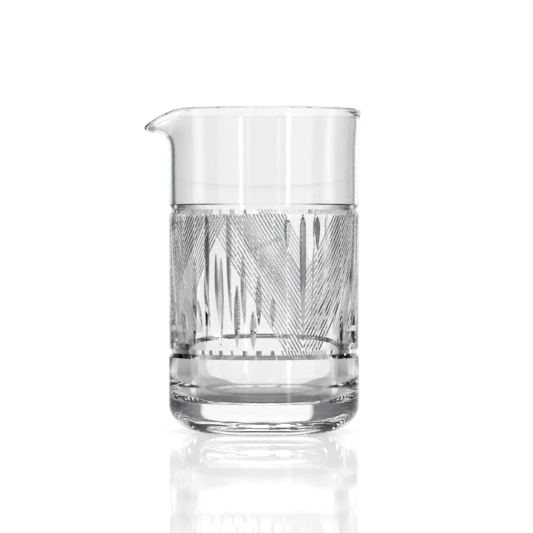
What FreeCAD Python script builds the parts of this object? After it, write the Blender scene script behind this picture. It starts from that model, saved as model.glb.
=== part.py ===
"""Mixing glass for cocktails: a straight-sided cut-glass beaker with a heavy base and a pouring spout.

The glass is one piece. It is modelled as the zones that a glass cutter would name, which meet face
to face: the heavy base, the tapered lower wall, the cut band between two ring grooves, the plain
collar, the pouring rim and the spout. Millimetres, +Z up, the origin on the glass's axis at the foot,
and the spout towards -X.
"""
import FreeCAD, Part
import math
import os

Vector = FreeCAD.Vector

# Driving dimensions, mm
BODY_R = 44.0            # outer radius of the straight wall
BASE_SWELL = 0.3         # how far the heavy base stands out past the straight wall
FLOOR_T = 14.0           # glass under the flat floor of the bowl
FLOOR_EDGE_WALL = 20.0   # glass outside the edge of that flat floor
FLOOR_BLEND_RISE = 14.0  # height of the rounded corner from the floor to the wall
FOOT_ROUND_W = 17.0      # width of the rounded foot, inwards from the base's side
FOOT_ROUND_H = 13.5      # height of the rounded foot
LOWER_WALL_H = 9.0       # heavy base's top to the lower ring groove
BAND_H = 66.3            # lower ring groove to upper ring groove, bottom to bottom
COLLAR_H = 24.7          # upper ring groove to the pouring rim's zone
RIM_H = 22.0             # the pouring rim's zone
CORNER_WALL = 9.5        # wall where the heavy base ends
SHOULDER_WALL = 8.6      # wall at the lower ring groove
MID_WALL = 5.1           # wall a third of the way up the cut band
UPPER_WALL = 2.6         # wall at the upper ring groove
RIM_WALL = 2.3           # wall at the foot of the pouring rim's zone
LIP_T = 2.1              # wall just under the rim's bead
BEAD_R = 1.35            # radius of the fire-polished bead
RIM_FLARE = 0.75         # how far the rim opens out past the straight wall
RING_GROOVE_DEPTH = 1.25
RING_GROOVE_HALF_H = 2.1
BLADE_DEPTH = 1.35       # depth of a vertical blade cut at its deepest point
BLADE_W = 3.0            # width of a blade cut there
TALL_BLADE_W = 3.6       # width of the tall blade cut where two diagonals meet at the bottom
TALL_BLADE_RISE = 1.0    # how much higher that one starts than the others
CUT_MARGIN = 0.5         # plain glass between the lower ring groove and the cuts
SPOUT_REACH = 10.6       # how far the spout's tip stands out past the rim
SPOUT_DROP = 7.4         # how far the spout's tip hangs below the rim
SPOUT_HALF_ANGLE = 42.0  # degrees each side of the tip
SPOUT_END_PITCH = 21.4   # degrees above level of the pouring edge at the tip
SPOUT_BEAK = 1.48        # 1 for a broad spout seen from above, more for a narrower beak
SPOUT_DIP = 1.93         # 1 for a broad dip seen from the front, more for a narrower one

# The rim's middle line is a cubic, whose two inner points stand off its ends by these shares
RIM_START_SHARE = 0.33   # of the rise, up from the foot of the rim
SPOUT_START_SHARE = 0.6  # added to that at the spout's tip
RIM_END_SHARE = 0.33     # of the rim's height, back from the bead
SPOUT_END_SHARE = 0.15   # added to that at the spout's tip
SWELL_START = 0.85       # share of the way up where the wall starts to swell into the bead
ROUNDING_STEPS = 6       # stretches of a rounded corner between the points that it passes through
RIM_STEPS = 8            # stretches of the rim's faces between the points that they pass through
SPOUT_STEPS = 10         # sections of the spout each side of its tip

# The cut pattern, in degrees round the glass
REPEATS = 3              # the pattern repeats this many times
PEAK_ANGLE = -36.2       # where two diagonals meet at the top, from -Y towards +X
BLADE_PITCH = 10.0       # between neighbouring blade cuts
SIDE_BLADES = 3          # blade cuts each side of a peak's own
EVEN_DEPTH = 0.5         # share of the way up where a short blade in a peak is deepest
HIGH_DEPTH = 0.75        # the same for one that runs out into the upper ring groove
WHEEL_OVERRUN = 1.02     # how far past a blade's end the wheel goes on, against the blade's own reach
DIAGONAL_PITCH = 21 * 60.0 / 26   # how far a diagonal travels round over the band
UPPER_DIAGONAL_START = 37.5       # from the peak to the band of fine lines' upper diagonal
BLADE_GAP = 4.4          # mm from the lower diagonal to the blade cuts below it

# Heights that follow
FLOOR_Z = FLOOR_T
BASE_TOP = FLOOR_T + FLOOR_BLEND_RISE
LOWER_GROOVE_Z = BASE_TOP + LOWER_WALL_H
UPPER_GROOVE_Z = LOWER_GROOVE_Z + BAND_H
RIM_Z = UPPER_GROOVE_Z + COLLAR_H
TOP_Z = RIM_Z + RIM_H
BASE_R = BODY_R + BASE_SWELL
CUT_BOTTOM = LOWER_GROOVE_Z + RING_GROOVE_HALF_H + CUT_MARGIN
CUT_TOP = UPPER_GROOVE_Z - RING_GROOVE_HALF_H
CUT_H = CUT_TOP - CUT_BOTTOM


def point(radius, height):
    """A point of a profile in the XZ plane."""
    return Vector(radius, 0, height)


def line(a, b):
    """A straight edge."""
    return Part.LineSegment(a, b).toShape()


def smooth(points, **ends):
    """A smooth curve through the points, with end directions where they are given."""
    curve = Part.BSplineCurve()
    curve.interpolate(Points=points, **ends)
    return curve


def evenly(points):
    """A smooth curve that reaches its points at even steps, so that like sections loft cleanly."""
    return smooth(points, Parameters=[i / (len(points) - 1) for i in range(len(points))])


def spin(edges, degrees=360.0, start=0.0):
    """A solid turned from a closed profile about the glass's axis."""
    face = Part.Face(Part.Wire(edges))
    if start:
        face.rotate(Vector(0, 0, 0), Vector(0, 0, 1), start)
    solid = face.revolve(Vector(0, 0, 0), Vector(0, 0, 1), degrees)
    return solid if solid.ShapeType == "Solid" else Part.Solid(solid.Shells[0])


def rounding(centre, width, height):
    """A quarter of an ellipse, from straight below its centre round to straight outwards."""
    turns = [math.pi / 2 * i / ROUNDING_STEPS for i in range(ROUNDING_STEPS + 1)]
    return smooth([centre + Vector(width * math.sin(a), 0, -height * math.cos(a)) for a in turns],
                  InitialTangent=Vector(1, 0, 0), FinalTangent=Vector(0, 0, 1)).toShape()


# The inside of the wall: the flat floor's edge, the top of its rounded corner, and the wall above
FLOOR_EDGE = point(BODY_R - FLOOR_EDGE_WALL, FLOOR_Z)
BOWL = [
    point(BODY_R - CORNER_WALL, BASE_TOP),
    point(BODY_R - SHOULDER_WALL, LOWER_GROOVE_Z),
    point(BODY_R - MID_WALL, LOWER_GROOVE_Z + BAND_H / 3),
    point(BODY_R - UPPER_WALL, UPPER_GROOVE_Z),
    point(BODY_R - RIM_WALL, RIM_Z),
]
BOWL_CURVE = smooth(BOWL, InitialTangent=Vector(0, 0, 1), FinalTangent=Vector(0.01, 0, 1))


def bowl_edge(lower, upper):
    """The stretch of the inside of the wall between two of its named points."""
    stretch = BOWL_CURVE.copy()
    stretch.segment(stretch.parameter(BOWL[lower]), stretch.parameter(BOWL[upper]))
    return stretch.toShape()


def half_groove(ring_z, side):
    """Upper (side 1) or lower (side -1) half of a V-shaped ring groove: its bottom and its edge."""
    return point(BODY_R - RING_GROOVE_DEPTH, ring_z), point(BODY_R, ring_z + side * RING_GROOVE_HALF_H)


def heavy_base():
    """Solid glass foot and floor: level foot, elliptical rounding, straight side, rounded bowl corner."""
    foot_centre = point(BASE_R - FOOT_ROUND_W, FOOT_ROUND_H)
    corner_centre = point(FLOOR_EDGE.x, BASE_TOP)
    return spin([
        line(point(0, 0), point(foot_centre.x, 0)),
        rounding(foot_centre, FOOT_ROUND_W, FOOT_ROUND_H),
        line(point(BASE_R, FOOT_ROUND_H), point(BASE_R, BASE_TOP)),
        line(point(BASE_R, BASE_TOP), BOWL[0]),
        rounding(corner_centre, BOWL[0].x - FLOOR_EDGE.x, FLOOR_BLEND_RISE),
        line(FLOOR_EDGE, point(0, FLOOR_Z)),
        line(point(0, FLOOR_Z), point(0, 0)),
    ])


def lower_wall():
    """Thick wall that tapers up from the base, to the bottom of the lower ring groove."""
    bottom, edge = half_groove(LOWER_GROOVE_Z, -1)
    side = point(BASE_R, edge.z)
    return spin([
        line(BOWL[0], point(BASE_R, BASE_TOP)),
        line(point(BASE_R, BASE_TOP), side),
        line(side, bottom),
        line(bottom, BOWL[1]),
        bowl_edge(0, 1),
    ])


def blade_cutter(angle, bottom, top, width, deepest):
    """What a V-edged wheel removes: deepest at that share of the way up, with pointed ends.

    A wheel whose deepest point is near the top would run on past it, so it is stopped there.
    """
    middle = bottom + deepest * (top - bottom)
    reach = max(middle - bottom, top - middle)
    wheel_r = reach ** 2 / (2 * BLADE_DEPTH)
    edge = BODY_R - BLADE_DEPTH
    lift = 2 * BLADE_DEPTH
    hub = Vector(edge + wheel_r, 0, middle)
    flank = width / 2 / BLADE_DEPTH * lift
    corners = [Vector(edge, 0, middle), Vector(edge + lift, flank, middle), Vector(edge + lift, -flank, middle)]
    wedge = Part.Face(Part.makePolygon(corners + corners[:1]))
    down = math.degrees(math.asin(WHEEL_OVERRUN * (middle - bottom) / wheel_r))
    stop = WHEEL_OVERRUN * reach if deepest == EVEN_DEPTH else top - middle
    up = math.degrees(math.asin(stop / wheel_r))
    wedge.rotate(hub, Vector(0, 1, 0), -down)
    cutter = wedge.revolve(hub, Vector(0, 1, 0), down + up)
    if cutter.ShapeType != "Solid":
        cutter = Part.Solid(cutter.Shells[0])
    cutter.rotate(Vector(0, 0, 0), Vector(0, 0, 1), angle - 90)
    return cutter


def blade_cutters():
    """Every vertical blade cut: under each peak, and above each valley between the peaks."""
    half_repeat = 180.0 / REPEATS
    drop = CUT_H / DIAGONAL_PITCH
    cutters = []
    for repeat in range(REPEATS):
        peak = PEAK_ANGLE + repeat * 2 * half_repeat
        valley = peak + half_repeat
        cutters.append(blade_cutter(peak, CUT_BOTTOM, CUT_TOP, BLADE_W, HIGH_DEPTH))
        for step in range(1, SIDE_BLADES + 1):
            top = CUT_TOP - step * BLADE_PITCH * drop - BLADE_GAP
            for side in (-1, 1):
                angle = peak + side * step * BLADE_PITCH
                cutters.append(blade_cutter(angle, CUT_BOTTOM, top, BLADE_W, EVEN_DEPTH))
        cutters.append(blade_cutter(valley, CUT_BOTTOM + TALL_BLADE_RISE, CUT_TOP, TALL_BLADE_W, HIGH_DEPTH))
        short_bottom = CUT_TOP - (half_repeat - UPPER_DIAGONAL_START - BLADE_PITCH) * drop
        for side in (-1, 1):
            cutters.append(blade_cutter(valley + side * BLADE_PITCH, short_bottom, CUT_TOP, BLADE_W, HIGH_DEPTH))
    return cutters


def cut_band():
    """Decorated wall between the bottoms of the two ring grooves, with its blade cuts."""
    low_bottom, low_edge = half_groove(LOWER_GROOVE_Z, 1)
    high_bottom, high_edge = half_groove(UPPER_GROOVE_Z, -1)
    wall = spin([
        line(BOWL[1], low_bottom),
        line(low_bottom, low_edge),
        line(low_edge, high_edge),
        line(high_edge, high_bottom),
        line(high_bottom, BOWL[3]),
        bowl_edge(1, 3),
    ])
    return wall.cut(blade_cutters())


def collar():
    """Plain wall from the bottom of the upper ring groove to the pouring rim."""
    bottom, edge = half_groove(UPPER_GROOVE_Z, 1)
    return spin([
        line(BOWL[3], bottom),
        line(bottom, edge),
        line(edge, point(BODY_R, RIM_Z)),
        line(point(BODY_R, RIM_Z), BOWL[4]),
        bowl_edge(3, 4),
    ])


def rim_profile(pull):
    """Edges of the rim's section where the spout's pull is 0 (plain rim) to 1 (the spout's tip).

    The middle of the wall is one cubic that starts straight up and ends at the bead, which the pull
    carries outwards and down. Half the wall's thickness each side of it makes the two faces.
    """
    start = (BODY_R - RIM_WALL / 2, RIM_Z)
    end_r = BODY_R + RIM_FLARE - LIP_T / 2 + SPOUT_REACH * pull ** SPOUT_BEAK
    end_z = TOP_Z - BEAD_R - SPOUT_DROP * pull ** SPOUT_DIP
    pitch = math.radians(90 - (90 - SPOUT_END_PITCH) * pull)
    rise = end_z - RIM_Z
    low = (start[0], RIM_Z + rise * (RIM_START_SHARE + SPOUT_START_SHARE * pull))
    reach = RIM_H * (RIM_END_SHARE + SPOUT_END_SHARE * pull)
    high = (end_r - reach * math.cos(pitch), end_z - reach * math.sin(pitch))
    outside, inside = [], []
    for i in range(RIM_STEPS + 1):
        t = i / RIM_STEPS
        u = 1 - t
        weights = (u ** 3, 3 * u * u * t, 3 * u * t * t, t ** 3)
        places = (start, low, high, (end_r, end_z))
        r, z = (sum(w * p[k] for w, p in zip(weights, places)) for k in (0, 1))
        slopes = (u * u, 2 * u * t, t * t)
        legs = [(places[k + 1][0] - places[k][0], places[k + 1][1] - places[k][1]) for k in range(3)]
        dr, dz = (sum(s * leg[k] for s, leg in zip(slopes, legs)) for k in (0, 1))
        size = math.hypot(dr, dz)
        swell = max(0.0, (t - SWELL_START) / (1 - SWELL_START))
        half = (RIM_WALL + (LIP_T - RIM_WALL) * t) / 2 + (BEAD_R - LIP_T / 2) * swell ** 2
        outside.append(point(r + half * dz / size, z - half * dr / size))
        inside.append(point(r - half * dz / size, z + half * dr / size))
    tip = point(r + BEAD_R * dr / size, z + BEAD_R * dz / size)
    return [
        line(inside[0], outside[0]),
        evenly(outside).toShape(),
        Part.Arc(outside[-1], tip, inside[-1]).toShape(),
        evenly(inside[::-1]).toShape(),
    ]


def rim():
    """The plain rim: all of the circle but the spout."""
    return spin(rim_profile(0.0), 360 - 2 * SPOUT_HALF_ANGLE, 180 + SPOUT_HALF_ANGLE)


def spout():
    """The pulled part of the rim, through sections fanned about the glass's axis."""
    sections = []
    for i in range(-SPOUT_STEPS, SPOUT_STEPS + 1):
        share = i / SPOUT_STEPS
        pull = (1 + math.cos(math.pi * share)) / 2
        wire = Part.Wire(rim_profile(pull))
        wire.rotate(Vector(0, 0, 0), Vector(0, 0, 1), 180 + SPOUT_HALF_ANGLE * share)
        sections.append(wire)
    return Part.makeLoft(sections, True, False)


os.makedirs("parts", exist_ok=True)
NODES = {
    "heavy_base": heavy_base(),
    "lower_wall": lower_wall(),
    "cut_band": cut_band(),
    "collar": collar(),
    "pouring_rim": rim(),
    "spout": spout(),
}
for name, shape in NODES.items():
    shape.exportStep("parts/" + name + ".step")
    box = shape.BoundBox
    print(name, shape.ShapeType, len(shape.Solids), shape.isValid(), "volume %.0f" % shape.Volume,
          "x %.2f..%.2f z %.2f..%.2f" % (box.XMin, box.XMax, box.ZMin, box.ZMax))
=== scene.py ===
"""Cut-glass mixing beaker: the looks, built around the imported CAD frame. Metres, +Z up, spout towards -X."""
import math

import bpy
import numpy as np
from bpy.props import FloatProperty, IntProperty, PointerProperty, StringProperty
from bpy.types import Operator, Panel, PropertyGroup
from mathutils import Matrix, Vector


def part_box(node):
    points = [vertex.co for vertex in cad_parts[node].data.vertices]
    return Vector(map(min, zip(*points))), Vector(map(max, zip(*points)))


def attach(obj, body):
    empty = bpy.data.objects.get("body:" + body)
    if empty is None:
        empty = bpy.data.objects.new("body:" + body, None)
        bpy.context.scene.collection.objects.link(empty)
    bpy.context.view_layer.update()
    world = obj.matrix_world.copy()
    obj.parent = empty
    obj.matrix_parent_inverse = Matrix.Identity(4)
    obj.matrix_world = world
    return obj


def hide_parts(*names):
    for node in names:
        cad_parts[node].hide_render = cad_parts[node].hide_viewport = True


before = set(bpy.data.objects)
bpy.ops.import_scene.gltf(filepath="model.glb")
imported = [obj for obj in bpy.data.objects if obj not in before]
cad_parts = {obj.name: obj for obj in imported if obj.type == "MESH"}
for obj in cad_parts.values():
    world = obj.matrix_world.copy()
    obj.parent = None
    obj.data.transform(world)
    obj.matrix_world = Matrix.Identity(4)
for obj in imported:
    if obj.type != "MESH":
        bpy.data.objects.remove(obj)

bl_info = {
    "name": "Cut-glass mixing beaker",
    "version": (1, 0, 0),
    "blender": (4, 5, 0),
    "location": "View3D > Sidebar > Mixing beaker",
    "description": "Builds a spouted mixing beaker with a band of wheel cuts, and its studio",
    "category": "Add Mesh",
}

MM = 0.001
ZONES = ("heavy_base", "lower_wall", "cut_band", "collar", "pouring_rim", "spout")


# ---------------------------------------------------------------------------------------------
# What the frame gives
# ---------------------------------------------------------------------------------------------

def top_of(node):
    """Height of the top of a CAD zone."""
    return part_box(node)[1][2]


def radius_of(node):
    """Largest radius of a CAD zone that goes all the way round."""
    low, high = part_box(node)
    return max(high[0], high[1], -low[1])


def size_prop(name, description, default):
    """A length, in metres, shown in the scene's unit."""
    return FloatProperty(name=name, description=description, default=default, min=0.0,
                         precision=5, unit="LENGTH")


def share_prop(name, description, default):
    """A plain number."""
    return FloatProperty(name=name, description=description, default=default, precision=3)


def angle_prop(name, description, degrees):
    """An angle, given in degrees."""
    return FloatProperty(name=name, description=description, default=math.radians(degrees), subtype="ANGLE")


def colour_prop(name, description, hex_value):
    """A colour as an sRGB hex value."""
    return StringProperty(name=name, description=description, default=hex_value)


class BeakerBody(PropertyGroup):
    """Sizes of the turned body. Heights and outer radii come from the CAD zones."""
    body_r: size_prop("Wall radius", "Outer radius of the straight wall", radius_of("collar"))
    base_r: size_prop("Base radius", "Outer radius of the heavy base", radius_of("heavy_base"))
    base_top: size_prop("Base top", "Where the bowl's rounded lower corner starts", top_of("heavy_base"))
    lower_groove_z: size_prop("Lower groove", "Height of the lower ring groove", top_of("lower_wall"))
    upper_groove_z: size_prop("Upper groove", "Height of the upper ring groove", top_of("cut_band"))
    rim_z: size_prop("Rim zone", "Height where the pouring rim's zone starts", top_of("collar"))
    top_z: size_prop("Top", "Height of the rim", top_of("pouring_rim"))
    floor_t: size_prop("Floor", "Glass under the bowl's floor", 14.0 * MM)
    floor_edge_wall: size_prop("Wall at the floor", "Glass outside the flat floor's edge", 20.0 * MM)
    corner_wall: size_prop("Wall at the base's top", "Wall where the heavy base ends", 9.5 * MM)
    shoulder_wall: size_prop("Wall at the lower groove", "Wall at the lower ring groove", 8.6 * MM)
    mid_wall: size_prop("Wall in the band", "Wall a third of the way up the cut band", 5.1 * MM)
    upper_wall: size_prop("Wall at the upper groove", "Wall at the upper ring groove", 2.6 * MM)
    rim_wall: size_prop("Wall below the rim", "Wall where the rim's zone starts", 2.3 * MM)
    foot_round_w: size_prop("Foot rounding width", "How far the rounded foot reaches in", 17.0 * MM)
    foot_round_h: size_prop("Foot rounding height", "How far the rounded foot reaches up", 13.5 * MM)
    groove_depth: size_prop("Groove depth", "Depth of a ring groove", 1.25 * MM)
    groove_half_h: size_prop("Groove half height", "Half the height of a ring groove", 2.1 * MM)
    ripple: size_prop("Floor ripple", "Height of the rings that pressing leaves on the floor", 0.02 * MM)
    ripple_pitch: size_prop("Floor ripple pitch", "Distance between those rings", 7.0 * MM)


class BeakerSpout(PropertyGroup):
    """Sizes of the rim's bead and of the pulled spout."""
    lip_t: size_prop("Lip", "Wall just under the bead", 2.1 * MM)
    bead_r: size_prop("Bead radius", "Radius of the fire-polished bead", 1.35 * MM)
    flare: size_prop("Flare", "How far the rim opens out past the wall", 0.75 * MM)
    reach: size_prop("Reach", "How far the tip stands out past the rim", 10.6 * MM)
    drop: size_prop("Drop", "How far the tip hangs below the rim", 7.4 * MM)
    half_angle: angle_prop("Half angle", "Spout's width each side of the tip, round the rim", 42.0)
    pitch: angle_prop("Tip pitch", "Slope of the pouring edge at the tip, above level", 21.4)
    beak: share_prop("Beak", "1 for a broad spout seen from above, more for a narrower one", 1.48)
    dip: share_prop("Dip", "1 for a broad dip seen from the front, more for a narrower one", 1.93)


class BeakerCuts(PropertyGroup):
    """The cut pattern: blades under and over zigzag bands of fine parallel lines."""
    repeats: IntProperty(
        name="Repeats", description="How often the pattern repeats round the glass", default=3)
    peak_angle: angle_prop("Peak", "Where two bands meet at the top, from the front towards +X", -36.2)
    lines_per_flank: IntProperty(
        name="Line pitches", description="Fine line pitches from peak to valley", default=26)
    line_count: IntProperty(name="Lines", description="Fine lines in one band", default=17)
    line_depth: size_prop("Line depth", "Depth of a fine line", 0.38 * MM)
    travel: IntProperty(
        name="Travel", description="Line pitches that a line moves round from top to bottom", default=21)
    blade_depth: size_prop("Blade depth", "Depth of a blade cut at its deepest", 1.35 * MM)
    blade_w: size_prop("Blade width", "Width of a blade cut there", 3.0 * MM)
    tall_blade_w: size_prop("Valley blade width", "Width of the tall blade in a valley", 3.2 * MM)
    blade_gap: size_prop("Blade gap", "From a band's lower edge down to the blades' tips", 4.4 * MM)
    upper_start: angle_prop("Upper diagonal", "From the peak to the band's upper diagonal, at the top", 37.5)
    margin: size_prop("Margin", "Plain glass between the lower groove and the cuts", 0.5 * MM)
    top_margin: size_prop("Top margin", "Plain glass between the cuts and the upper groove", 1.2 * MM)
    round_top: size_prop("Round top", "Height of a blade's rounded top, under the upper groove", 3.6 * MM)


class BeakerFinish(PropertyGroup):
    """Colour and polish of the crystal."""
    crystal: colour_prop("Crystal", "Tint of the clear glass", "#FDFEFE")
    ior: share_prop("IOR", "Index of refraction of lead-free crystal", 1.52)
    polish: share_prop("Polish", "Roughness of the fire-polished faces", 0.0)
    ground: share_prop("Ground", "Roughness inside the fine lines, which keep the wheel's grain", 0.3)
    wave: size_prop("Wave", "Height of the slight waves that pressing leaves in the walls", 0.012 * MM)


class BeakerStudio(PropertyGroup):
    """Camera, floor and light."""
    camera_distance: size_prop("Camera distance", "From the glass's axis", 1.65)
    camera_height: size_prop("Camera height", "Above the floor", 0.096)
    aim_height: size_prop("Aim height", "Height of the view's centre, at the glass", 0.0769)
    aim_side: size_prop("Aim side", "How far the view's centre is to the right of the axis", 0.0012)
    lens: FloatProperty(name="Lens", description="Focal length in millimetres", default=239.5)
    gap: colour_prop("Gap", "Colour of the dark gap over the backdrop's top edge", "#1C1E22")
    gap_from: angle_prop("Gap from", "How high that gap starts, seen from the glass", 18.0)
    gap_full: angle_prop("Gap full", "How high it is fully dark", 24.0)
    ceiling: colour_prop("Ceiling", "Colour of the soft ceiling", "#FFFFFF")
    ceiling_from: angle_prop("Ceiling from", "How high the ceiling starts, seen from the glass", 42.0)
    ceiling_full: angle_prop("Ceiling full", "How high it reaches its full brightness", 58.0)
    ceiling_power: share_prop("Ceiling power", "Brightness of the ceiling, against 1 for the backdrop", 1.7)
    left_strip: angle_prop("Left strip", "Strip left of the camera, from the backdrop's middle", -161.0)
    right_strip: angle_prop("Right strip", "Strip right of the camera, from the backdrop's middle", 150.0)
    strip_width: angle_prop("Strip width", "Width of a strip light, seen from the glass", 6.0)
    strip_from: angle_prop("Strips from", "How high the strip lights start to glow", -1.0)
    strip_full: angle_prop("Strips full", "How high they reach their full brightness", 2.5)
    strip_power: share_prop("Strip power", "Brightness of the strip lights, against 1 for the backdrop", 6.0)
    floor: colour_prop("Floor", "Colour of the acrylic sheet that the glass stands on", "#BEBEBE")
    floor_glow: share_prop("Floor glow", "Light that comes up through the sheet", 0.68)
    # Strength of the painted glow that the glass gathers from the sheet: painted light and shade, no lamp
    painted_glow_strength: share_prop("Floor lit", "Brightness of what the glass gathers from the sheet", 1.0)
    # Painted shadow: the sheet's colour under the glass, standing in for the shade that the glass casts
    shade: colour_prop("Shade", "Colour of the sheet in the shade under the glass", "#6E6E70")
    shade_radius: size_prop("Shade radius", "Where that shade starts to fade, from the glass's axis", 34 * MM)
    # Where the painted shadow has gone and the painted pool of light round the glass is full
    painted_light_radius: size_prop("Lamp radius", "Where that shade has gone", 50 * MM)
    # Painted pool of light: the sheet's colour round the glass, in what the glass gathers
    painted_light_pool: colour_prop("Lamp", "Colour of the sheet round the glass", "#C8C8C8")
    # Painted light and shade: from here out the sheet glows with a copy of the room's brightness on that side
    sheet_reach: size_prop("Sheet reach", "Where the sheet starts to take on the room's brightness", 0.36)
    floor_gap: size_prop("Floor gap", "Air between the sheet and the glass's foot", 0.02 * MM)
    floor_half: size_prop("Floor half width", "From the glass's axis to the floor's edge", 60.0)
    floor_gloss: share_prop("Floor gloss", "Strength of the mirror image that the sheet shows", 0.33)
    floor_ior: share_prop("Floor IOR", "Index of refraction of the acrylic", 1.49)
    floor_roughness: share_prop("Floor roughness", "How far the floor's mirror image is blurred", 0.04)


# ---------------------------------------------------------------------------------------------
# Profiles of the turned body
# ---------------------------------------------------------------------------------------------

def bowl_curve(body, steps, corner_steps):
    """Radius and height down the inside, from the rim's zone to the flat floor's edge.

    A cubic Hermite curve through the wall's named thicknesses, then a quarter of an ellipse. Each
    named point's direction is that from the point before it to the point after it, and the curve is
    upright at both its ends.
    """
    band = body.upper_groove_z - body.lower_groove_z
    knots = np.array([
        (body.body_r - body.rim_wall, body.rim_z),
        (body.body_r - body.upper_wall, body.upper_groove_z),
        (body.body_r - body.mid_wall, body.lower_groove_z + band / 3),
        (body.body_r - body.shoulder_wall, body.lower_groove_z),
        (body.body_r - body.corner_wall, body.base_top),
    ])
    along = np.concatenate([[0.0], np.cumsum(np.linalg.norm(np.diff(knots, axis=0), axis=1))])
    slopes = np.gradient(knots, along, axis=0)
    slopes[[0, -1]] = (0.0, -1.0)
    s = np.linspace(0.0, along[-1], steps)
    k = np.clip(np.searchsorted(along, s, side="right") - 1, 0, len(knots) - 2)
    gap = (along[k + 1] - along[k])[:, None]
    t = (s - along[k])[:, None] / gap
    wall = (knots[k] * (1 + 2 * t) * (1 - t) ** 2 + gap * slopes[k] * t * (1 - t) ** 2
            + knots[k + 1] * (3 - 2 * t) * t ** 2 + gap * slopes[k + 1] * t ** 2 * (t - 1))
    edge_r = body.body_r - body.floor_edge_wall
    a = np.linspace(0, math.pi / 2, corner_steps + 1)[1:]
    corner = np.column_stack([edge_r + (knots[-1][0] - edge_r) * np.cos(a),
                              body.base_top - (body.base_top - body.floor_t) * np.sin(a)])
    return np.vstack([wall, corner])


def floor_curve(body, steps):
    """Radius and height across the floor: level, with rings of a cosine that fades to the edge."""
    edge = body.body_r - body.floor_edge_wall
    r = np.linspace(edge, 0.0, steps + 1)[1:-1]
    fade = 1 - (r / edge) ** 4
    z = body.floor_t - body.ripple * fade * 0.5 * (1 - np.cos(2 * math.pi * r / body.ripple_pitch))
    return np.column_stack([r, z])


def foot_curve(body, flat_steps, round_steps):
    """Radius and height from near the axis out over the level foot and up its elliptical rounding."""
    centre = body.base_r - body.foot_round_w
    flat = np.column_stack([centre * np.arange(1, flat_steps + 1) / flat_steps, np.zeros(flat_steps)])
    a = np.linspace(0, math.pi / 2, round_steps + 1)[1:]
    rounding = np.column_stack([centre + body.foot_round_w * np.sin(a), body.foot_round_h * (1 - np.cos(a))])
    return np.vstack([flat, rounding])


def straight(start, end, steps):
    """Radius and height along a straight line, without its first point."""
    t = np.arange(1, steps + 1)[:, None] / steps
    return np.array(start) * (1 - t) + np.array(end) * t


CLOSER_TO_BEAD = 1.6     # over 1, so that the steps up the rim shorten towards the bead
LOW_HANDLE = 0.33        # how far up the rim's curve is steered upright, as a share of its height
PULLED_LOW = 0.6         # added to that share where the rim is pulled the most
HIGH_HANDLE = 0.33       # how far back from its end the curve is steered, as a share of the rim's height
PULLED_HIGH = 0.15       # added to that share where the rim is pulled the most
SWELL_FROM = 0.85        # share of the way up where the wall starts to swell to the bead's width


def rim_sections(body, spout, pull, steps, bead_steps):
    """Radius and height of the rim at each column, from the outside up over the bead and down inside.

    The middle of the wall is one cubic Bezier that starts straight up and ends at the bead, which
    the column's pull, 0 to 1, carries outwards and down while the end direction tips over. The
    faces stand half the wall either side of it, and the bead is half a circle about its end.
    """
    pull = pull[:, None]
    t = 1 - (1 - np.linspace(0, 1, steps + 1)[None, 1:]) ** CLOSER_TO_BEAD
    u = 1 - t
    start_r = body.body_r - body.rim_wall / 2 + 0 * pull
    start_z = body.rim_z + 0 * pull
    end_r = body.body_r + spout.flare - spout.lip_t / 2 + spout.reach * pull ** spout.beak
    end_z = body.top_z - spout.bead_r - spout.drop * pull ** spout.dip
    tip = math.pi / 2 - (math.pi / 2 - spout.pitch) * pull
    low_z = start_z + (end_z - start_z) * (LOW_HANDLE + PULLED_LOW * pull)
    arm = (body.top_z - body.rim_z) * (HIGH_HANDLE + PULLED_HIGH * pull)
    high_r, high_z = end_r - arm * np.cos(tip), end_z - arm * np.sin(tip)
    weights = (u ** 3, 3 * u * u * t, 3 * u * t * t, t ** 3)
    r = sum(w * p for w, p in zip(weights, (start_r, start_r, high_r, end_r)))
    z = sum(w * p for w, p in zip(weights, (start_z, low_z, high_z, end_z)))
    dr = 2 * u * t * (high_r - start_r) + t * t * (end_r - high_r)
    dz = u * u * (low_z - start_z) + 2 * u * t * (high_z - low_z) + t * t * (end_z - high_z)
    size = np.hypot(dr, dz)
    dr, dz = dr / size, dz / size
    swell = np.maximum(0, (t - SWELL_FROM) / (1 - SWELL_FROM)) ** 2
    half = (body.rim_wall + (spout.lip_t - body.rim_wall) * t) / 2 + (spout.bead_r - spout.lip_t / 2) * swell
    outside = np.stack([r + half * dz, z - half * dr], axis=-1)
    inside = np.stack([r - half * dz, z + half * dr], axis=-1)
    a = np.linspace(0, math.pi, bead_steps + 1)[None, 1:-1]
    last_r, last_z, end_dr, end_dz = (v[:, -1:] for v in (r, z, dr, dz))
    bead = np.stack([last_r + spout.bead_r * (np.cos(a) * end_dz + np.sin(a) * end_dr),
                     last_z + spout.bead_r * (np.sin(a) * end_dz - np.cos(a) * end_dr)], axis=-1)
    return np.concatenate([outside, bead, inside[:, ::-1]], axis=1)


# ---------------------------------------------------------------------------------------------
# The cut band
# ---------------------------------------------------------------------------------------------

PITCH_COLUMNS = 4        # a fine line is a V two columns wide, with two columns of plain glass beside it
BLADE_REACH = 8          # columns either side of a blade's middle that it may touch
BLADE_STEP = 10.0        # degrees between neighbouring blades
DEEPEST_HIGH = 0.75      # share of its height at which a blade that reaches the band's top is deepest
DEEPEST_EVEN = 0.5       # the same for a blade that ends below a band of lines
VALLEY_LIFT = 1.0 * MM   # how far above the others the tall blade in a valley starts
HAIR = 1e-6              # a width in columns that stands for none where a depth is divided by it


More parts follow.
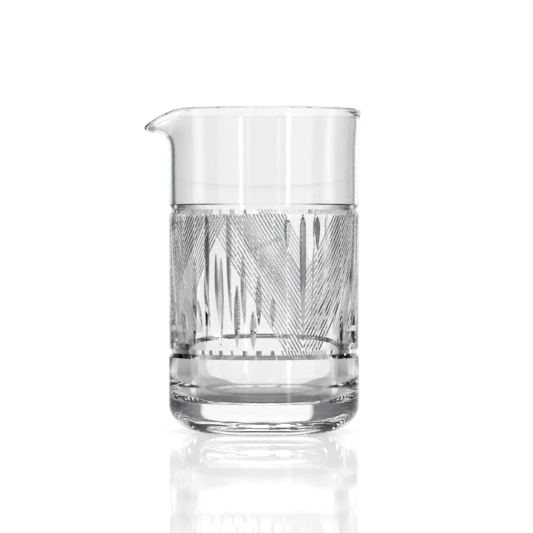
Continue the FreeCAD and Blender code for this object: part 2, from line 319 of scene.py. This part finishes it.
def blade_list(cuts, low_z, high_z):
    """Each blade of one repeat: degrees from the peak, lowest and highest height, width, deepest share.

    Below a band the tops step down with its lower edge, a gap under it. Over a valley the short blades
    stand on the band's upper edge. Those and the tall ones end just under the upper ring groove.
    """
    flank = 180.0 / cuts.repeats
    drop = (high_z - low_z) * cuts.lines_per_flank / (cuts.travel * flank)
    made = [(0.0, low_z, high_z, cuts.blade_w, DEEPEST_HIGH)]
    for step in (1, 2, 3):
        top = high_z - step * BLADE_STEP * drop - cuts.blade_gap
        made += [(side * step * BLADE_STEP, low_z, top, cuts.blade_w, DEEPEST_EVEN) for side in (-1, 1)]
    made.append((flank, low_z + VALLEY_LIFT, high_z, cuts.tall_blade_w, DEEPEST_HIGH))
    short = high_z - (flank - BLADE_STEP - math.degrees(cuts.upper_start)) * drop
    made += [(flank + side * BLADE_STEP, short, high_z, cuts.blade_w, DEEPEST_HIGH) for side in (-1, 1)]
    return made


def cut_field(body, cuts):
    """The band's lattice: heights, sideways shifts, depths, fine-line marks and split directions.

    Rows and columns are spaced so that a fine line moves one column per row: it is full depth on its
    own column and nothing on the two beside it. A blade has the section of a V-edged wheel. Its depth
    on its middle is depth * (1 - (distance from its deepest point / reach) ** 2), and over the last
    stretch below its top that is also times the square root of (distance below the top / round_top),
    at most 1, which rounds the top. Its half width goes with its depth, and across it the depth falls
    straight to nothing. In each row the column nearest to its edge is shifted, by a part of a column,
    onto the edge, so that the edge is clean.
    """
    flank_columns = cuts.lines_per_flank * PITCH_COLUMNS
    repeat_columns = 2 * flank_columns
    columns = cuts.repeats * repeat_columns
    rows = cuts.travel * PITCH_COLUMNS
    low_z = body.lower_groove_z + body.groove_half_h + cuts.margin
    high_z = body.upper_groove_z - body.groove_half_h - cuts.top_margin
    z = np.linspace(low_z, high_z, rows + 1)
    from_peak = np.arange(columns) % repeat_columns
    mirrored = np.minimum(from_peak, repeat_columns - from_peak)
    line = mirrored[None, :] - 1 - (rows - np.arange(rows + 1))[:, None]
    fine = (line % PITCH_COLUMNS == 0) & (line >= 0) & (line < cuts.line_count * PITCH_COLUMNS)
    depth = np.where(fine, cuts.line_depth, 0.0)
    shift = np.zeros_like(depth)
    column_w = 2 * math.pi * body.body_r / columns
    offset = np.arange(-BLADE_REACH, BLADE_REACH + 1)[None, :]
    for degrees, low, high, width, deepest in blade_list(cuts, low_z, high_z):
        centre = low + deepest * (high - low)
        reach = max(centre - low, high - centre)
        share = np.where(z < low, 0, np.clip(1 - ((z - centre) / reach) ** 2, 0, 1))
        share = (share * np.sqrt(np.clip((high - z) / cuts.round_top, 0, 1)))[:, None]
        half = share * width / 2 / column_w
        edge = np.round(half)
        across = 1 - np.abs(offset) / np.maximum(half, HAIR)
        inside = (np.abs(offset) < edge) * share * cuts.blade_depth * across
        on_edge = (np.abs(offset) == edge) & (edge > 0)
        middle = round(degrees / 360 * columns)
        for repeat in range(cuts.repeats):
            at = (middle + repeat * repeat_columns + offset[0]) % columns
            depth[:, at] = np.where(np.abs(offset) <= edge, inside, depth[:, at])
            shift[:, at] += np.where(on_edge, np.sign(offset) * (half - edge), 0.0)
            fine[:, at] &= np.abs(offset) > edge
    return z, shift, depth, fine, from_peak < flank_columns


# ---------------------------------------------------------------------------------------------
# The whole glass as one closed surface
# ---------------------------------------------------------------------------------------------

COARSE = 3               # a column of the plain glass is as wide as this many of the cut band's
FOOT_STEPS = 3           # rings across the level foot
ROUNDING_STEPS = 20      # rings up the foot's rounding
WALL_STEPS = 3           # rings up a straight stretch of the outer wall
RIM_STEPS = 24           # rings up each face of the pouring rim
BEAD_STEPS = 10          # steps over the bead
BOWL_STEPS = 40          # rings down the bowl's wall
CORNER_STEPS = 20        # rings round the bowl's lower corner
FLOOR_STEPS = 52         # steps across the bowl's floor


def ring_points(radius, height, angle):
    """Points round the axis; an angle of 0 is the front, -Y, and it grows towards +X."""
    return np.stack(np.broadcast_arrays(radius * np.sin(angle), -radius * np.cos(angle), height), axis=-1)


def strip_triangles(first, rows, columns, falls_right=None):
    """Two triangles for each cell between neighbouring rings, split along the fine lines' direction."""
    ring = first + np.arange(rows)[:, None] * columns
    here = np.arange(columns)[None, :]
    a, b = ring + here, ring + (here + 1) % columns
    d, c = a + columns, b + columns
    falls = np.zeros(columns, bool) if falls_right is None else falls_right
    falls = np.broadcast_to(falls[None, :, None], a.shape + (1,))
    one = np.where(falls, np.stack([a, b, d], -1), np.stack([a, b, c], -1))
    two = np.where(falls, np.stack([b, c, d], -1), np.stack([a, c, d], -1))
    return np.concatenate([one.reshape(-1, 3), two.reshape(-1, 3)])


def step_triangles(coarse, fine, columns, fine_above):
    """Joins a coarse ring to a fine one, which has COARSE points to each of its own."""
    here = np.arange(columns)
    c0, c1 = coarse + here, coarse + (here + 1) % columns
    f0, f1, f2, f3 = (fine + (COARSE * here + k) % (COARSE * columns) for k in range(COARSE + 1))
    cells = ((c0, f1, f0), (c0, c1, f1), (c1, f2, f1), (c1, f3, f2))
    triangles = np.concatenate([np.stack(cell, -1) for cell in cells])
    return triangles if fine_above else triangles[:, ::-1]


def fan_triangles(pole, ring, columns, faces_up):
    """Closes a ring with one point on the axis."""
    here = np.arange(columns)
    triangles = np.stack([np.full(columns, pole), ring + here, ring + (here + 1) % columns], -1)
    return triangles if faces_up else triangles[:, ::-1]


def glass_surface(body, spout, cuts):
    """Points, triangles and fine-line marks of the whole glass.

    Every part is rings of points round the axis, from the foot up, over the rim and down the bowl.
    Only the cut band has fine rings; the rest has a third as many columns. A column's pull towards
    the spout is (1 + cos(180 degrees * its angle from the tip / half_angle)) / 2, and 0 outside that.
    """
    z, shift, depth, fine, falls_right = cut_field(body, cuts)
    band_columns = depth.shape[1]
    columns = band_columns // COARSE
    turn = 2 * math.pi / band_columns
    angle = cuts.peak_angle + turn * COARSE * np.arange(columns)
    groove_r = body.body_r - body.groove_depth
    low_edge, high_edge = body.lower_groove_z - body.groove_half_h, body.lower_groove_z + body.groove_half_h
    below = np.vstack([
        foot_curve(body, FOOT_STEPS, ROUNDING_STEPS),
        straight((body.base_r, body.foot_round_h), (body.base_r, low_edge), WALL_STEPS),
        [(groove_r, body.lower_groove_z), (body.body_r, high_edge)],
    ])
    above = np.vstack([
        [(body.body_r, body.upper_groove_z - body.groove_half_h), (groove_r, body.upper_groove_z),
         (body.body_r, body.upper_groove_z + body.groove_half_h)],
        straight((body.body_r, body.upper_groove_z + body.groove_half_h),
                 (body.body_r, body.rim_z), WALL_STEPS),
    ])
    round_spout = np.abs((angle + math.pi / 2 + math.pi) % (2 * math.pi) - math.pi)
    bell = (1 + np.cos(math.pi * round_spout / spout.half_angle)) / 2
    pull = np.where(round_spout < spout.half_angle, bell, 0)
    rim = rim_sections(body, spout, pull, RIM_STEPS, BEAD_STEPS)
    inside = np.vstack([bowl_curve(body, BOWL_STEPS, CORNER_STEPS), floor_curve(body, FLOOR_STEPS)])

    band_angle = cuts.peak_angle + turn * (np.arange(band_columns)[None, :] + shift)
    points = [
        np.zeros((1, 3)),
        ring_points(below[:, :1], below[:, 1:], angle[None, :]),
        ring_points(body.body_r - depth, z[:, None], band_angle),
        ring_points(above[:, :1], above[:, 1:], angle[None, :]),
        ring_points(rim[:, :, 0].T, rim[:, :, 1].T, angle[None, :]),
        ring_points(inside[:, :1], inside[:, 1:], angle[None, :]),
        np.array([[0, 0, body.floor_t]]),
    ]
    counts = np.cumsum([0] + [p.reshape(-1, 3).shape[0] for p in points])
    first_below, first_band, first_above, floor_pole = counts[1], counts[2], counts[3], counts[6]
    upper_rings = (floor_pole - first_above) // columns
    triangles = [
        fan_triangles(0, first_below, columns, False),
        strip_triangles(first_below, len(below) - 1, columns),
        step_triangles(first_band - columns, first_band, columns, True),
        strip_triangles(first_band, len(z) - 1, band_columns, falls_right),
        step_triangles(first_above, first_above - band_columns, columns, False),
        strip_triangles(first_above, upper_rings - 1, columns),
        fan_triangles(floor_pole, floor_pole - columns, columns, True),
    ]
    marks = np.zeros(counts[-1])
    marks[first_band:first_above] = fine.ravel()
    return np.concatenate([p.reshape(-1, 3) for p in points]), np.concatenate(triangles), marks


# ---------------------------------------------------------------------------------------------
# Meshes and nodes
# ---------------------------------------------------------------------------------------------

CREASE = math.radians(14)    # sharper bends than this are edges that a wheel left


def new_piece(name, points, triangles):
    """A mesh object at the origin, smooth but for its creases."""
    old = bpy.data.objects.get(name)
    if old:
        bpy.data.objects.remove(old, do_unlink=True)
    mesh = bpy.data.meshes.new(name)
    mesh.vertices.add(len(points))
    mesh.vertices.foreach_set("co", points.astype(np.float32).ravel())
    mesh.loops.add(triangles.size)
    mesh.loops.foreach_set("vertex_index", triangles.astype(np.int32).ravel())
    mesh.polygons.add(len(triangles))
    mesh.polygons.foreach_set("loop_start", np.arange(0, triangles.size, 3, dtype=np.int32))
    mesh.update(calc_edges=True)
    mesh.validate()
    mesh.shade_smooth()
    mesh.set_sharp_from_angle(angle=CREASE)
    piece = bpy.data.objects.new(name, mesh)
    bpy.context.scene.collection.objects.link(piece)
    return piece


def linear(hex_value):
    """An sRGB hex colour as the linear colour that a shader takes."""
    srgb = np.array([int(hex_value[i:i + 2], 16) for i in (1, 3, 5)]) / 255
    low, high = srgb / 12.92, ((srgb + 0.055) / 1.055) ** 2.4
    return (*np.where(srgb <= 0.04045, low, high).tolist(), 1.0)


def add(tree, kind, settings=None, **inputs):
    """Adds a node, with its settings and its inputs, which may be numbers or other nodes' outputs.

    An input goes by its socket's name, with _ for a space, or by its place, as i0, i1 and so on.
    """
    node = tree.nodes.new(kind)
    for key, value in (settings or {}).items():
        setattr(node, key, value)
    for key, value in inputs.items():
        numbered = key[0] == "i" and key[1:].isdigit()
        socket = node.inputs[int(key[1:]) if numbered else key.replace("_", " ")]
        if isinstance(value, bpy.types.NodeSocket):
            tree.links.new(value, socket)
        else:
            socket.default_value = value
    return node


def new_tree(block):
    """An empty node tree for a material or the world."""
    block.use_nodes = True
    block.node_tree.nodes.clear()
    return block.node_tree


# ---------------------------------------------------------------------------------------------
# Materials
# ---------------------------------------------------------------------------------------------

STRIA_ACROSS = 9 * MM    # distance between the slight waves that pressing leaves, round the wall
STRIA_UP = 120 * MM      # and their length, up the wall


def lead_free_crystal(finish):
    """Lead-free crystal, pressed, then cut with wheels and polished in acid.

    It is clear and almost colourless, it bends light strongly enough to go dark at its edges, and its
    pressed walls have very slight waves that run up the glass. The fine lines are not polished out:
    they keep the wheel's grain, and look faintly frosted beside the glossy faces.
    """
    material = bpy.data.materials.new("lead_free_crystal_pressed_and_cut")
    tree = new_tree(material)
    place = add(tree, "ShaderNodeTexCoord").outputs["Object"]
    striae = add(tree, "ShaderNodeMapping", Vector=place,
                 Scale=(1 / STRIA_ACROSS, 1 / STRIA_ACROSS, 1 / STRIA_UP))
    wave = add(tree, "ShaderNodeTexNoise", Vector=striae.outputs[0], Scale=1.0, Detail=1.0, Roughness=0.4)
    bump = add(tree, "ShaderNodeBump", Height=wave.outputs["Fac"], Strength=1.0, Distance=finish.wave)
    line = add(tree, "ShaderNodeAttribute", {"attribute_name": "fine_line"})
    rough = add(tree, "ShaderNodeMapRange", Value=line.outputs["Fac"],
                To_Min=finish.polish, To_Max=finish.ground)
    glass = add(tree, "ShaderNodeBsdfPrincipled", Base_Color=linear(finish.crystal), IOR=finish.ior,
                Transmission_Weight=1.0, Roughness=rough.outputs[0], Normal=bump.outputs[0])
    add(tree, "ShaderNodeOutputMaterial", Surface=glass.outputs[0])
    return material


# Brightness round the room, by degrees from the backdrop's middle, towards +X; the floor gets it too, as
# painted light and shade
ROOM = (
    (-180, "#6C6E72"), (-155, "#6C6E72"), (-135, "#2E3034"), (-97, "#2E3034"), (-95, "#FFFFFF"),
    (-85, "#FFFFFF"), (-83, "#2E3034"), (-54, "#2E3034"), (-42, "#5C5E62"), (-22.5, "#7C7E82"),
    (-20.5, "#FFFFFF"), (29, "#FFFFFF"), (31, "#8E9094"), (42, "#66686C"), (54, "#2E3034"),
    (83, "#2E3034"), (85, "#FFFFFF"), (95, "#FFFFFF"), (97, "#2E3034"), (116, "#2E3034"),
    (120, "#DCDCDC"), (150, "#DCDCDC"), (156, "#6C6E72"), (180, "#6C6E72"),
)


SHEET_FADE = 1.4         # the sheet's painted copy of the room's brightness is full at this many sheet reaches


def room_colour(tree, place):
    """The room's colour in a direction, or, as painted light and shade, at a place on the floor, with its +Z
    part and its turn.

    Its turn round the room is the arc tangent of its +X part over its +Y part.
    """
    parts = add(tree, "ShaderNodeSeparateXYZ", i0=place)
    turn = add(tree, "ShaderNodeMath", {"operation": "ARCTAN2"}, i0=parts.outputs[0], i1=parts.outputs[1])
    share = add(tree, "ShaderNodeMapRange", Value=turn.outputs[0], From_Min=-math.pi, From_Max=math.pi)
    ramp = add(tree, "ShaderNodeValToRGB", Fac=share.outputs[0])
    stops = ramp.color_ramp.elements
    while len(stops) < len(ROOM):
        stops.new(1.0)
    for stop, (degrees, hex_value) in zip(stops, ROOM):
        stop.position = (degrees + 180) / 360
        stop.color = linear(hex_value)
    return ramp.outputs[0], parts.outputs[2], turn.outputs[0]


def acrylic_with_painted_light_and_shade(studio):
    """Polished opal acrylic sheet, lit from under.

    Seen directly it is pale and even, with a mirror image of one low strength. What the glass gathers
    from it differs: it mirrors more the lower it is looked along, by Fresnel's law, and under that
    mirror it glows with painted light and shade: a painted shadow under the glass, a painted pool of
    light round it, and further off a painted copy of the room's brightness on that side.
    """
    material = bpy.data.materials.new("acrylic_sheet_with_painted_light_and_shade")
    tree = new_tree(material)
    matt = add(tree, "ShaderNodeBsdfDiffuse", Color=linear(studio.floor))
    glow = add(tree, "ShaderNodeEmission", Color=linear(studio.ceiling), Strength=studio.floor_glow)
    body = add(tree, "ShaderNodeAddShader", i0=matt.outputs[0], i1=glow.outputs[0])
    gloss = add(tree, "ShaderNodeBsdfAnisotropic", Color=linear(studio.ceiling),
                Roughness=studio.floor_roughness)
    shown = add(tree, "ShaderNodeMixShader", i0=studio.floor_gloss, i1=body.outputs[0], i2=gloss.outputs[0])
    fresnel = add(tree, "ShaderNodeFresnel", IOR=studio.floor_ior)
    place = add(tree, "ShaderNodeTexCoord").outputs["Object"]
    # The room's brightness painted onto the sheet, by the turn round the glass
    around = room_colour(tree, place)[0]
    away = add(tree, "ShaderNodeVectorMath", {"operation": "LENGTH"}, i0=place)
    # Painted shadow under the glass, fading out between the two radii into the painted light round it
    clear = add(tree, "ShaderNodeMapRange", {"interpolation_type": "SMOOTHSTEP"}, Value=away.outputs["Value"],
                From_Min=studio.shade_radius, From_Max=studio.painted_light_radius)
    # Painted pool of light round the glass, or the painted room brightness where that is lighter
    sheet = add(tree, "ShaderNodeMix", {"data_type": "RGBA", "blend_type": "LIGHTEN"},
                i0=1.0, i6=linear(studio.painted_light_pool), i7=around)
    near = add(tree, "ShaderNodeMix", {"data_type": "RGBA"},
               i0=clear.outputs[0], i6=linear(studio.shade), i7=sheet.outputs[2])
    # Further off, the painted room brightness takes over from the painted shadow and light
    far = add(tree, "ShaderNodeMapRange", Value=away.outputs["Value"],
              From_Min=studio.sheet_reach, From_Max=SHEET_FADE * studio.sheet_reach)
    colour = add(tree, "ShaderNodeMix", {"data_type": "RGBA"},
                 i0=far.outputs[0], i6=near.outputs[2], i7=around)
    # Painted light and shade: the sheet glows with this colour only for what the glass gathers
    lit = add(tree, "ShaderNodeEmission", Color=colour.outputs[2], Strength=studio.painted_glow_strength)
    gathered = add(tree, "ShaderNodeMixShader",
                   i0=fresnel.outputs[0], i1=lit.outputs[0], i2=gloss.outputs[0])
    # The camera's own rays see the plain, evenly lit sheet; other rays see the painted glow and the mirror
    # image
    direct = add(tree, "ShaderNodeLightPath").outputs["Is Camera Ray"]
    mixed = add(tree, "ShaderNodeMixShader", i0=direct, i1=gathered.outputs[0], i2=shown.outputs[0])
    add(tree, "ShaderNodeOutputMaterial", Surface=mixed.outputs[0])
    return material


# ---------------------------------------------------------------------------------------------
# The studio
# ---------------------------------------------------------------------------------------------

def light_the_room(studio):
    """A lit backdrop, lit panels and dark gaps between them, under a dark gap and a soft ceiling.

    Two narrow strip lights stand each side of the camera and add to it. One is full to a quarter of
    its width from its middle, and gone at half.
    """
    world = bpy.data.worlds.new("studio")
    bpy.context.scene.world = world
    tree = new_tree(world)
    around, up, turn = room_colour(tree, add(tree, "ShaderNodeTexCoord").outputs["Generated"])
    ceiling = add(tree, "ShaderNodeMapRange", {"interpolation_type": "SMOOTHSTEP"}, Value=up,
                  From_Min=math.sin(studio.ceiling_from), From_Max=math.sin(studio.ceiling_full))
    gap = add(tree, "ShaderNodeMapRange", {"interpolation_type": "SMOOTHSTEP"}, Value=up,
              From_Min=math.sin(studio.gap_from), From_Max=math.sin(studio.gap_full))
    walls = add(tree, "ShaderNodeMix", {"data_type": "RGBA"},
                i0=gap.outputs[0], i6=around, i7=linear(studio.gap))
    colour = add(tree, "ShaderNodeMix", {"data_type": "RGBA"},
                 i0=ceiling.outputs[0], i6=walls.outputs[2], i7=linear(studio.ceiling))
    strength = add(tree, "ShaderNodeMapRange", Value=ceiling.outputs[0],
                   To_Min=1.0, To_Max=studio.ceiling_power)
    height = add(tree, "ShaderNodeMapRange", {"interpolation_type": "SMOOTHSTEP"}, Value=up,
                 From_Min=math.sin(studio.strip_from), From_Max=math.sin(studio.strip_full),
                 To_Max=studio.strip_power)
    power = strength.outputs[0]
    for middle in (studio.left_strip, studio.right_strip):
        away = add(tree, "ShaderNodeMath", {"operation": "SUBTRACT"}, i0=turn, i1=middle)
        off = add(tree, "ShaderNodeMath", {"operation": "ABSOLUTE"}, i0=away.outputs[0])
        near = add(tree, "ShaderNodeMapRange", Value=off.outputs[0],
                   From_Min=studio.strip_width / 2, From_Max=studio.strip_width / 4)
        power = add(tree, "ShaderNodeMath", {"operation": "MULTIPLY_ADD"},
                    i0=near.outputs[0], i1=height.outputs[0], i2=power).outputs[0]
    shine = add(tree, "ShaderNodeBackground", Color=colour.outputs[2], Strength=power)
    add(tree, "ShaderNodeOutputWorld", Surface=shine.outputs[0])


SENSOR_WIDTH = 36.0      # millimetres, as the lens
FAR_CLIP = 100.0         # metres, past the floor's edge


def put_camera(studio):
    """A long lens, a little lower than the upper ring groove and aimed a little further down."""
    data = bpy.data.cameras.new("camera")
    data.lens = studio.lens
    data.sensor_width = SENSOR_WIDTH
    data.clip_end = FAR_CLIP
    camera = bpy.data.objects.new("camera", data)
    bpy.context.scene.collection.objects.link(camera)
    camera.location = (studio.aim_side, -studio.camera_distance, studio.camera_height)
    tilt = math.atan2(studio.camera_height - studio.aim_height, studio.camera_distance)
    camera.rotation_euler = (math.pi / 2 - tilt, 0.0, 0.0)
    bpy.context.scene.camera = camera


# ---------------------------------------------------------------------------------------------
# Operators and panel
# ---------------------------------------------------------------------------------------------

class MESH_OT_add_mixing_glass(Operator):
    """Build the mixing glass with its cuts as one closed piece"""
    bl_idname = "mesh.add_mixing_glass"
    bl_label = "Mixing Glass"
    bl_options = {"REGISTER", "UNDO"}

    def execute(self, context):
        scene = context.scene
        points, triangles, marks = glass_surface(scene.beaker_body, scene.beaker_spout, scene.beaker_cuts)
        piece = new_piece("mixing_glass", points, triangles)
        fine_line = piece.data.attributes.new("fine_line", "FLOAT", "POINT")
        fine_line.data.foreach_set("value", marks.astype(np.float32))
        piece.data.materials.append(lead_free_crystal(scene.beaker_finish))
        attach(piece, "root")
        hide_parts(*ZONES)
        return {"FINISHED"}


class SCENE_OT_set_beaker_studio(Operator):
    """Lay the floor, light the room and place the camera"""
    bl_idname = "scene.set_beaker_studio"
    bl_label = "Studio"
    bl_options = {"REGISTER", "UNDO"}

    def execute(self, context):
        scene = context.scene
        studio = scene.beaker_studio
        side = studio.floor_half
        low = -studio.floor_gap
        corners = np.array([(-side, -side, low), (side, -side, low), (side, side, low), (-side, side, low)])
        floor = new_piece("floor", corners, np.array([(0, 1, 2), (0, 2, 3)]))
        floor.data.materials.append(acrylic_with_painted_light_and_shade(studio))
        light_the_room(studio)
        put_camera(studio)
        scene.view_settings.view_transform = "Standard"
        scene.cycles.max_bounces = 24
        scene.cycles.transmission_bounces = 20
        scene.cycles.glossy_bounces = 8
        scene.cycles.caustics_reflective = True
        scene.cycles.caustics_refractive = True
        return {"FINISHED"}


class VIEW3D_PT_mixing_beaker(Panel):
    """Sizes, finish and studio of the mixing beaker"""
    bl_idname = "VIEW3D_PT_mixing_beaker"
    bl_label = "Mixing beaker"
    bl_space_type = "VIEW_3D"
    bl_region_type = "UI"
    bl_category = "Mixing beaker"

    def draw(self, context):
        for operator, groups in PANEL_ROWS:
            box = self.layout.box()
            box.operator(operator)
            for group in groups:
                settings = getattr(context.scene, group)
                for key in settings.bl_rna.properties.keys():
                    if key not in ("rna_type", "name"):
                        box.prop(settings, key)


PANEL_ROWS = (
    ("mesh.add_mixing_glass", ("beaker_body", "beaker_spout", "beaker_cuts", "beaker_finish")),
    ("scene.set_beaker_studio", ("beaker_studio",)),
)
GROUPS = {
    "beaker_body": BeakerBody,
    "beaker_spout": BeakerSpout,
    "beaker_cuts": BeakerCuts,
    "beaker_finish": BeakerFinish,
    "beaker_studio": BeakerStudio,
}
CLASSES = (*GROUPS.values(), MESH_OT_add_mixing_glass, SCENE_OT_set_beaker_studio, VIEW3D_PT_mixing_beaker)


def register():
    for cls in CLASSES:
        bpy.utils.register_class(cls)
    for name, group in GROUPS.items():
        setattr(bpy.types.Scene, name, PointerProperty(type=group))


def unregister():
    for name in GROUPS:
        delattr(bpy.types.Scene, name)
    for cls in reversed(CLASSES):
        bpy.utils.unregister_class(cls)


def main():
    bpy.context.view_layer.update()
    register()
    bpy.ops.scene.set_beaker_studio()
    bpy.ops.mesh.add_mixing_glass()


if __name__ == "__main__":
    main()
